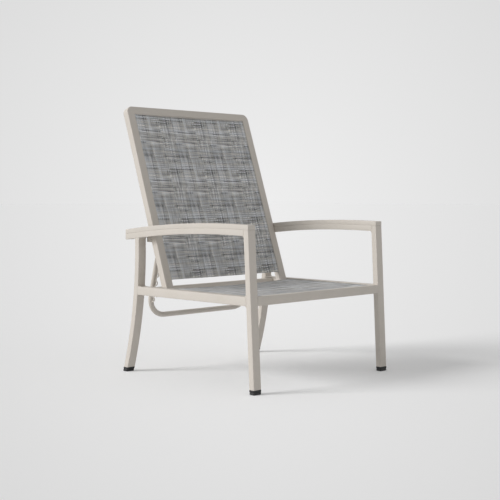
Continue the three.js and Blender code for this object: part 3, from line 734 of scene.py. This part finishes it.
def arm_layer(side, above, below, front, rear, round_front=0.0):
    """One layer of the arm: a flat tube on the arm's arch, its front end flat against the leg or round."""
    x0, x1 = span(side, LEG_INNER, LEG_OUTER)
    rows = eased(
        list(np.linspace(front, rear, 40)),
        lambda inset: rounded(x0 + inset, x1 - inset, above + inset, below - inset, SEAM_ROUND),
        round_start=round_front,
    )

    def place(x, under, y):
        z = arm_line(under, y)
        if y == front and not round_front:
            y = front_line(LEG_DEPTH + JOINT_GAP, z)
        return in_chair(x, y, z)

    return swept(rows, place)


def keyhole(side, near, far, low, high, slot_at):
    """A rail's section: rounded, with the sling's keyhole channel in its inner face."""
    centre = near + BORE_BEHIND
    half = SLOT / 2
    open_angle = math.degrees(math.asin(half / BORE))
    r = TUBE_ROUND
    outline = (
        arc(far - r, low + r, r, -90, 0, 4)
        + arc(far - r, high - r, r, 0, 90, 4)
        + arc(near + r, high - r, r, 90, 180, 4)
        + [(near, slot_at + half + 0.5), (near + 0.5, slot_at + half)]
        + arc(centre, slot_at, BORE, 180 - open_angle, open_angle - 180, 16)
        + [(near + 0.5, slot_at - half), (near, slot_at - half - 0.5)]
        + arc(near + r, low + r, r, 180, 270, 4)
    )
    return [(side * a, b) for a, b in outline]


def side_rail_form(side):
    """A seat side rail between the legs, following their curve at its ends."""
    outline = keyhole(side, LEG_INNER, LEG_OUTER, SEAT_TOP - SEAT_RAIL, SEAT_TOP, SEAT_SLOT)

    def place(x, z, level):
        front = front_line(LEG_DEPTH, z) + JOINT_GAP
        rear = rear_line(0, z) - JOINT_GAP
        return in_chair(x, front + (rear - front) * level, z)

    return swept([(level, outline) for level in (0.0, 0.25, 0.5, 0.75, 1.0)], place)


def cross_form(y0, y1, z0, z1, reach, place=in_chair, r=TUBE_ROUND):
    """A rectangular tube along X between the rails of a pair."""
    outline = rounded(y0, y1, z0, z1, r)
    levels = [-reach, -reach / 2, 0.0, reach / 2, reach]
    return swept([(level, outline) for level in levels], lambda y, z, x: place(x, y, z))


for word, side in HALVES:
    for name, line, below in (("front_leg", front_line, CAP_THICK), ("rear_leg", rear_line, ARM_THICK)):
        mesh = mesh_of(name, [leg_form(line, side, below)], COAT, TUBE_EDGE)
        piece(f"{name}_tube_{word}", "frame", mesh, "frame_powder_coat", f"{name}_{word}")

    rail_front = front_line(LEG_DEPTH, UNDER_ARM) + JOINT_GAP
    rail_rear = ARM_REAR - ARM_PLUG
    under_front = arm_line(ARM_THICK, rail_front + WELD)
    front_corner = (front_line(LEG_DEPTH, under_front), under_front)
    rear_corner = (REAR_FACE, arm_line(ARM_THICK, REAR_FACE - WELD / 2))
    shells = [
        arm_layer(side, CAP_THICK + 0.15, ARM_THICK, rail_front, rail_rear),
        weld_form(side, front_corner, 1, -1),
        weld_form(side, rear_corner, -1, -1),
    ]
    mesh = mesh_of("arm_rail", shells, COAT, TUBE_EDGE)
    piece(f"arm_rail_tube_{word}", "frame", mesh, "frame_powder_coat", f"arm_rail_{word}")
    cap = arm_layer(side, 0, CAP_THICK, front_line(0, UNDER_ARM), rail_rear, round_front=2.2)
    mesh = mesh_of("arm_cap", [cap], COAT, TUBE_EDGE)
    piece(f"arm_cap_tube_{word}", "frame", mesh, "frame_powder_coat", f"arm_cap_{word}")

    x0, x1 = span(side, LEG_INNER, LEG_OUTER)
    rows = eased(
        [rail_rear + JOINT_GAP, ARM_REAR],
        lambda inset: rounded(x0 + inset, x1 - inset, inset, ARM_THICK - inset, TUBE_ROUND),
        round_end=1.4,
    )
    plate = swept(rows, lambda x, under, y: in_chair(x, y, arm_line(under, y)))
    mesh = mesh_of("arm_plug", [plate], COAT, TUBE_EDGE)
    piece(f"arm_end_plug_{word}", "frame", mesh, "frame_powder_coat", f"arm_plug_{word}")

    weld_front = front_line(LEG_DEPTH, SEAT_TOP)
    weld_below = front_line(LEG_DEPTH, SEAT_TOP - SEAT_RAIL)
    weld_rear = rear_line(0, SEAT_TOP)
    shells = [
        side_rail_form(side),
        weld_form(side, (weld_front, SEAT_TOP), 1, 1),
        weld_form(side, (weld_below, SEAT_TOP - SEAT_RAIL), 1, -1),
        weld_form(side, (weld_rear, SEAT_TOP), -1, 1),
    ]
    mesh = mesh_of("side_rail", shells, COAT, TUBE_EDGE)
    piece(f"side_rail_tube_{word}", "frame", mesh, "frame_powder_coat", f"side_rail_{word}")

front_face = front_line(0, SEAT_TOP - SEAT_RAIL / 2)
front_form = cross_form(front_face, front_face + LEG_DEPTH, SEAT_TOP - SEAT_RAIL, SEAT_TOP, LEG_INNER)
mesh = mesh_of("front_rail", [front_form], COAT, TUBE_EDGE)
piece("front_rail_tube", "frame", mesh, "frame_powder_coat", "front_rail")
rear_form = cross_form(REAR_RAIL[0], REAR_RAIL[1], REAR_RAIL[2] - SEAT_RAIL, REAR_RAIL[2], LEG_INNER)
mesh = mesh_of("rear_rail", [rear_form], COAT, TUBE_EDGE)
piece("rear_rail_tube", "frame", mesh, "frame_powder_coat", "rear_rail")


# Foot glides


def glide_form(line, side):
    """A moulded glide: a collar under the tube, a groove round it and a pad with round corners."""
    x0, x1 = span(side, LEG_INNER - GLIDE_LIP, LEG_OUTER + GLIDE_LIP)
    b0, b1 = -GLIDE_LIP, LEG_DEPTH + GLIDE_LIP
    # height, inset and corner radius, from the floor up
    rows = (
        (0.0, 2.2, 4.5),
        (0.5, 1.0, 5.0),
        (1.6, 0.2, 5.2),
        (3.0, 0.0, 5.2),
        (7.6, 0.1, 4.2),
        (8.3, 0.5, 4.0),
        (8.6, 1.3, 3.8),
        (9.6, 1.3, 3.4),
        (10.0, 0.5, 3.2),
        (10.6, 0.1, 3.2),
        (16.6, 0.0, 3.0),
        (17.5, 0.3, 2.8),
        (17.9, 0.9, 2.5),
    )
    outlines = [
        (z, rounded(x0 + inset, x1 - inset, b0 + inset, b1 - inset, radius, 6))
        for z, inset, radius in rows
    ]
    return swept(outlines, lambda x, offset, z: in_chair(x, line(offset, z), z))


for word, side in HALVES:
    for name, line in (("front", front_line), ("rear", rear_line)):
        mesh = mesh_of("glide", [glide_form(line, side)], BLACK, MOULDED_EDGE)
        piece(f"foot_glide_{name}_{word}", "frame", mesh, "glide_plastic", f"glide_{name}_{word}")


# Back frame: side rails and top rail, mitred at round corners


def corner_rows(side, start, end, steps):
    """Stations round a top corner: where the rail's inner and outer edges are at each turn of the mitre."""
    cx, cz = BACK_OUTER - BACK_CORNER, BACK_TOP - BACK_CORNER
    inner = (side * BACK_INNER, BACK_TOP - BACK_TOP_RAIL)
    return [(inner, (side * a, b)) for a, b in arc(cx, cz, BACK_CORNER, start, end, steps)]


def rail_along(stations, outline, width):
    """A rail through stations of (inner edge, outer edge), with the outline's (across, y) kept in size."""

    def place(across, y, station):
        (ia, ib), (oa, ob) = station
        reach = math.hypot(oa - ia, ob - ib)
        at = across if across <= width / 2 else reach - (width - across)
        return in_back(ia + (oa - ia) * at / reach, y, ib + (ob - ib) * at / reach)

    return swept([(station, outline) for station in stations], place)


def back_rail_form(side):
    outline = [
        (side * a - BACK_INNER, b)
        for a, b in keyhole(side, BACK_INNER, BACK_OUTER, -BACK_HALF, BACK_HALF, BACK_SLOT)
    ]
    heights = [0.0, 60.0, 200.0, 400.0, 600.0, BACK_TOP - BACK_TOP_RAIL]
    stations = [((side * BACK_INNER, z), (side * BACK_OUTER, z)) for z in heights]
    corners, faces = rail_along(stations + corner_rows(side, 0, 45, 8), outline, BACK_RAIL)
    # the lower end is round about the hinge
    for i, (across, y) in enumerate(outline):
        drop = math.sqrt(max(BACK_HALF**2 - y**2, 0))
        corners[i] = in_back(side * (BACK_INNER + across), y, -drop)
    return corners, faces


def top_rail_form():
    outline = rounded(0, BACK_TOP_RAIL, -BACK_HALF, BACK_HALF, TUBE_ROUND)
    inner, outer = BACK_TOP - BACK_TOP_RAIL, BACK_TOP
    reach = BACK_OUTER - BACK_CORNER
    straight = [((x, inner), (x, outer)) for x in (-200.0, 0.0, 200.0)]
    stations = (
        corner_rows(-1, 45, 90, 8)
        + [((-reach + 8.0, inner), (-reach + 8.0, outer))]
        + straight
        + [((reach - 8.0, inner), (reach - 8.0, outer))]
        + corner_rows(1, 90, 45, 8)
    )
    return rail_along(stations, outline, BACK_TOP_RAIL)


mesh = mesh_of("back_frame", [back_rail_form(-1), back_rail_form(1), top_rail_form()], COAT, TUBE_EDGE)
piece(
    "back_frame_tube",
    "back",
    mesh,
    "frame_powder_coat",
    "back_rail_left",
    "back_rail_right",
    "back_top_rail",
)
spreader_form = cross_form(*SPREADER, BACK_INNER - JOINT_GAP, in_back, 2.0)
mesh = mesh_of("back_spreader", [spreader_form], COAT, TUBE_EDGE)
piece("back_spreader_tube", "back", mesh, "frame_powder_coat", "back_spreader")

# Stubs that carry the stay, and their plugs

for word, side in HALVES:
    x0, x1 = span(side, BACK_INNER, BACK_OUTER)
    z0, z1 = STUB_LOW, STUB_HIGH
    outline = rounded(x0, x1, z0, z1, TUBE_ROUND)

    def place(x, z, level):
        return in_chair(x, back_rear(z) + JOINT_GAP if level == 0 else STUB_REAR, z)

    mesh = mesh_of("stay_stub", [swept([(0, outline), (1, outline)], place)], COAT, TUBE_EDGE)
    piece(f"stay_stub_tube_{word}", "back", mesh, "frame_powder_coat", f"stay_stub_{word}")
    rows = eased(
        [STUB_REAR + 0.05, STUB_REAR + STUB_PLUG],
        lambda inset: rounded(x0 + inset, x1 - inset, z0 + inset, z1 - inset, TUBE_ROUND),
        round_end=1.4,
    )
    cap = swept(rows, lambda x, z, y: in_chair(x, y, z))
    mesh = mesh_of("stub_plug", [cap], BLACK, MOULDED_EDGE)
    piece(f"stub_end_plug_{word}", "back", mesh, "glide_plastic", f"stub_plug_{word}")

# Stay: bent tube, plugs and racks

path = [in_stay(-STAY_HALF, 0, z) for z in (STAY_TOP, *STAY_STEPS)]
path += [
    in_stay(x, 0, z)
    for x, z in arc(-STAY_HALF + STAY_BEND, -STAY_LENGTH + STAY_BEND, STAY_BEND, 180, 270, 24)
]
path += [
    in_stay(x, 0, z)
    for x, z in arc(STAY_HALF - STAY_BEND, -STAY_LENGTH + STAY_BEND, STAY_BEND, 270, 360, 24)
]
path += [in_stay(STAY_HALF, 0, z) for z in (*STAY_STEPS[::-1], STAY_TOP)]
values = {"Radius": STAY_RADIUS * MM, "Sides": 40, "Finish": COAT}
mesh = grown("stay_tube", paths("stay_path", [path]), TUBE, TUBE_NAMES, values)
dress(mesh, COAT, MOULDED_EDGE)
piece("stay_tube", "stay", mesh, "frame_powder_coat", "stay_bar")


def rack_line():
    """The rack's rod: bent out from the leg into a loop at each setting, as (y, z) from the top down."""
    along = -STAY_RADIUS - ROD - JOINT_GAP
    dip = LOOP_CENTRE - along + LOOP_FILLET
    lift = math.sqrt((LOOP_RADIUS + LOOP_FILLET) ** 2 - dip**2)
    tilt = math.degrees(math.asin(dip / (LOOP_RADIUS + LOOP_FILLET)))
    line = [(along, LOWEST_LOOP + LOOP_PITCH * (LOOP_COUNT - 1) + LOOP_RADIUS + 6)]
    for k in range(LOOP_COUNT - 1, -1, -1):
        middle = LOWEST_LOOP + LOOP_PITCH * k
        line += arc(along - LOOP_FILLET, middle + lift, LOOP_FILLET, 0, -90 + tilt, 4)
        line += arc(LOOP_CENTRE, middle, LOOP_RADIUS, 90 + tilt, 270 - tilt, 16)[1:-1]
        line += arc(along - LOOP_FILLET, middle - lift, LOOP_FILLET, 90 - tilt, 0, 4)
    line.append((along, LOWEST_LOOP - LOOP_RADIUS - 6))
    return line


for word, side in HALVES:
    profile = (
        (0, STAY_TOP + 0.1),
        (STAY_RADIUS - 0.3, STAY_TOP + 0.1),
        (STAY_RADIUS, STAY_TOP + 0.5),
        (STAY_RADIUS, STAY_TOP + 2.4),
        (STAY_RADIUS - 0.5, STAY_TOP + 3.4),
        (STAY_RADIUS - 1.6, STAY_TOP + 4.0),
        (STAY_RADIUS - 4.0, STAY_TOP + 4.3),
        (0, STAY_TOP + 4.3),
    )
    cap = turned(profile, 32, lambda a, b, z: in_stay(side * STAY_HALF + a, b, z))
    mesh = mesh_of("stay_plug", [cap], BLACK, MOULDED_EDGE)
    piece(f"stay_end_plug_{word}", "stay", mesh, "glide_plastic", f"stay_plug_{word}")

    values = {"Radius": ROD * MM, "Sides": 12, "Finish": COAT}
    line = [in_stay(side * STAY_HALF, y, z) for y, z in rack_line()]
    mesh = grown("stay_rack", paths("rack_path", [line]), TUBE, TUBE_NAMES, values)
    dress(mesh, COAT, ROD_EDGE)
    piece(f"looped_rack_{word}", "stay", mesh, "frame_powder_coat", f"stay_rack_{word}")

# Slings


def sling_section(half, level, sag, inward):
    """Half of a sling's section from its middle to the end of its pocket: (x, height) and cloth length.

    The cloth enters the channel, turns round the rod and comes back under itself to the pocket's seam.
    """
    layer = CLOTH_THICK / 2 + 0.05
    wrap = ROD_RADIUS + 0.2 + CLOTH_THICK / 2
    edge = half - math.sqrt(wrap**2 - layer**2)
    way = 1 if sag >= 0 else -1
    points = [(x, level + way * layer - sag * (1 - (x / edge) ** 2)) for x in np.linspace(0, edge, 40)]
    open_angle = math.degrees(math.asin(layer / wrap))
    turn = arc(half, level, wrap, 180 - open_angle, open_angle - 180, 20)
    points += [(x, level + way * (z - level)) for x, z in turn][1:]
    back = np.linspace(edge, inward, 8)[1:]
    points += [(x, level - way * layer - sag * (1 - (x / edge) ** 2)) for x in back]
    steps = np.hypot(*np.diff(np.array(points), axis=0).T)
    return points, np.concatenate([[0], np.cumsum(steps)])


def sling_mesh(name, section, lengths, levels, place, ripple):
    """A sling's cloth, one layer of quads with its own flat map, from a section that is mirrored."""
    points = [(-x, h) for x, h in section[:0:-1]] + list(section)
    flat = np.concatenate([-lengths[:0:-1], lengths])
    corners = [place(x, h + ripple(x, t), t) for t in levels for x, h in points]
    count = len(points)
    faces = []
    for row in range(len(levels) - 1):
        for i in range(count - 1):
            at = row * count + i
            faces.append((at, at + 1, at + count + 1, at + count))
    mesh = bpy.data.meshes.new(name)
    mesh.from_pydata([tuple(c * MM for c in corner) for corner in corners], [], faces)
    cloth = mesh.uv_layers.new(name="cloth")
    for loop in mesh.loops:
        row, i = divmod(loop.vertex_index, count)
        cloth.data[loop.index].uv = (flat[i] * MM, levels[row] * MM)
    mesh.update()
    dress(mesh, CLOTH, CLOTH_EDGE)
    return mesh


def thicken(made):
    """Gives the cloth its thickness, evenly on both sides."""
    solid = made.modifiers.new("cloth thickness", "SOLIDIFY")
    solid.thickness = CLOTH_THICK * MM
    solid.offset = 0.0
    solid.use_even_offset = False
    return made


CLOTH_THICK = 0.8
ROD_RADIUS = 1.8
SEAM_INSIDE = 12.0
# How far from the middle the rails hold each cloth flat
SEAT_HELD = 345
BACK_HELD = 305

seat_front = front_line(LEG_DEPTH, SEAT_TOP) + 2
seat_levels = list(np.linspace(seat_front, SEAT_SLING_REAR, 80))
seat_section, seat_lengths = sling_section(
    LEG_INNER + BORE_BEHIND, SEAT_SLOT, SEAT_SAG, LEG_INNER - SEAM_INSIDE
)


def seat_ripple(x, t):
    """Faint pull lines of a stretched sling, none of them at its edges."""
    hold = max(1 - (abs(x) / SEAT_HELD) ** 4, 0)
    return hold * (0.35 * math.sin(t / 41.0 + x / 230.0) + 0.25 * math.sin(t / 17.0 - x / 150.0))


seat_mesh = sling_mesh(
    "seat_cloth", seat_section, seat_lengths, seat_levels, lambda x, h, t: in_chair(x, t, h), seat_ripple
)
seat = piece("seat_cloth", "frame", seat_mesh, "sling_fabric", "seat_sling")
thicken(seat)

back_levels = list(np.linspace(*BACK_SLING, 110))
back_section, back_lengths = sling_section(
    BACK_INNER + BORE_BEHIND, BACK_SLOT, -BACK_SAG, BACK_INNER - SEAM_INSIDE
)


def back_ripple(x, t):
    """The same on the back, a little longer and higher."""
    hold = max(1 - (abs(x) / BACK_HELD) ** 4, 0)
    return hold * (0.4 * math.sin(t / 47.0 + x / 260.0) + 0.25 * math.sin(t / 19.0 - x / 140.0))


back_mesh = sling_mesh(
    "back_cloth", back_section, back_lengths, back_levels, lambda x, h, t: in_back(x, h, t), back_ripple
)
back = piece("back_cloth", "back", back_mesh, "sling_fabric", "back_sling")
thicken(back)

# CAD nodes that keep their own shape

KEPT = {
    "seat_spline": VINYL,
    "back_spline": VINYL,
    "hinge_bolt": ZINC,
    "hinge_nut": ZINC,
    "hinge_washer": NYLON,
    "hinge_bushing": NYLON,
    "stay_bolt": ZINC,
    "stay_nut": ZINC,
    "stay_bushing": NYLON,
    "catch_bracket": COAT,
    "catch_pin": ZINC,
}
for stem, finish in KEPT.items():
    for word, _ in HALVES:
        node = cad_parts[f"{stem}_{word}"]
        node.data.materials.clear()
        node.data.materials.append(finish)

# Studio: a pale floor and backdrop with a pool of light behind the chair, and a soft key from the left

FLOOR_SHADE = "#efefef"
KEY_TOWARDS = (-0.780, 0.404, 0.477)
KEY_STRENGTH = 2.1
KEY_SPREAD = 25
SKY = 0.47
# The pool is laid out round a line from a fixed point of the room, which is where the photograph's
# camera stands. It stays there in every other view, and no node reads the camera.
POOL_FROM = (-3.08, -3.07, 0.73)
POOL_TOWARDS = (0.7067, 0.7070, -0.0270)
POOL_BRIGHT, POOL_EDGE, POOL_ANGLE = 0.866, 0.700, 21
FLOOR_LIT = 0.690


def seen_directly(tree):
    """1 for what the camera, a gloss or a glass sees, 0 for the light that falls on the chair."""
    light = add(tree, "ShaderNodeLightPath")
    given = {0: light.outputs["Is Camera Ray"], 1: light.outputs["Is Glossy Ray"]}
    seen = add(tree, MATHS, given, operation="MAXIMUM")
    given = {0: seen, 1: light.outputs["Is Transmission Ray"]}
    return add(tree, MATHS, given, operation="MAXIMUM")


def pool_of_light(tree, direction):
    """The backdrop's tone in a direction: brightest behind the chair."""
    towards = add(tree, "ShaderNodeVectorMath", {0: direction}, operation="NORMALIZE")
    share = add(tree, "ShaderNodeVectorMath", {0: towards, 1: POOL_TOWARDS}, operation="DOT_PRODUCT")
    angle = add(tree, MATHS, {0: share.outputs["Value"]}, operation="ARCCOSINE")
    return add(
        tree,
        "ShaderNodeMapRange",
        {
            "Value": angle,
            "From Max": math.radians(POOL_ANGLE),
            "To Min": POOL_BRIGHT,
            "To Max": POOL_EDGE,
        },
    ).outputs["Result"]


def floor_material():
    """Matt painted floor: what light it lacks against the backdrop is added, so that they nearly meet."""
    material, tree, output = blank_material("matt studio floor")
    place = add(tree, "ShaderNodeTexCoord").outputs["Object"]
    direction = add(tree, "ShaderNodeVectorMath", {0: place, 1: POOL_FROM}, operation="SUBTRACT")
    tone = pool_of_light(tree, direction)
    lack = add(tree, MATHS, {0: tone, 1: FLOOR_LIT}, operation="SUBTRACT")
    lift = add(tree, MATHS, {0: lack, 1: seen_directly(tree)}, operation="MULTIPLY")
    paint = add(tree, "ShaderNodeBsdfDiffuse", {"Color": linear(FLOOR_SHADE)})
    raised = add(tree, "ShaderNodeEmission", {"Strength": lift})
    both = add(tree, "ShaderNodeAddShader", {0: paint, 1: raised})
    tree.links.new(both.outputs[0], output.inputs["Surface"])
    return material


half_floor = 60.0
floor_mesh = bpy.data.meshes.new("studio_floor")
corners = [(a * half_floor, b * half_floor, 0) for a, b in ((-1, -1), (1, -1), (1, 1), (-1, 1))]
floor_mesh.from_pydata(corners, [], [(0, 1, 2, 3)])
floor_mesh.materials.append(floor_material())
floor = bpy.data.objects.new("studio_floor", floor_mesh)
scene.collection.objects.link(floor)

world = bpy.data.worlds.new("studio sky")
world.use_nodes = True
scene.world = world
sky = world.node_tree
sky.nodes.clear()
tone = pool_of_light(sky, add(sky, "ShaderNodeTexCoord").outputs["Generated"])
level = add(
    sky,
    "ShaderNodeMix",
    {"Factor": seen_directly(sky), "A": SKY, "B": tone},
    data_type="FLOAT",
)
backdrop = add(sky, "ShaderNodeBackground", {"Color": (1, 1, 1, 1), "Strength": level.outputs[0]})
add(sky, "ShaderNodeOutputWorld", {"Surface": backdrop})

key_data = bpy.data.lights.new("soft_key", "SUN")
key_data.energy = KEY_STRENGTH
key_data.angle = math.radians(KEY_SPREAD)
key = bpy.data.objects.new("soft_key", key_data)
key.rotation_euler = Vector(KEY_TOWARDS).to_track_quat("Z", "Y").to_euler()
scene.collection.objects.link(key)

scene.view_settings.view_transform = "Standard"
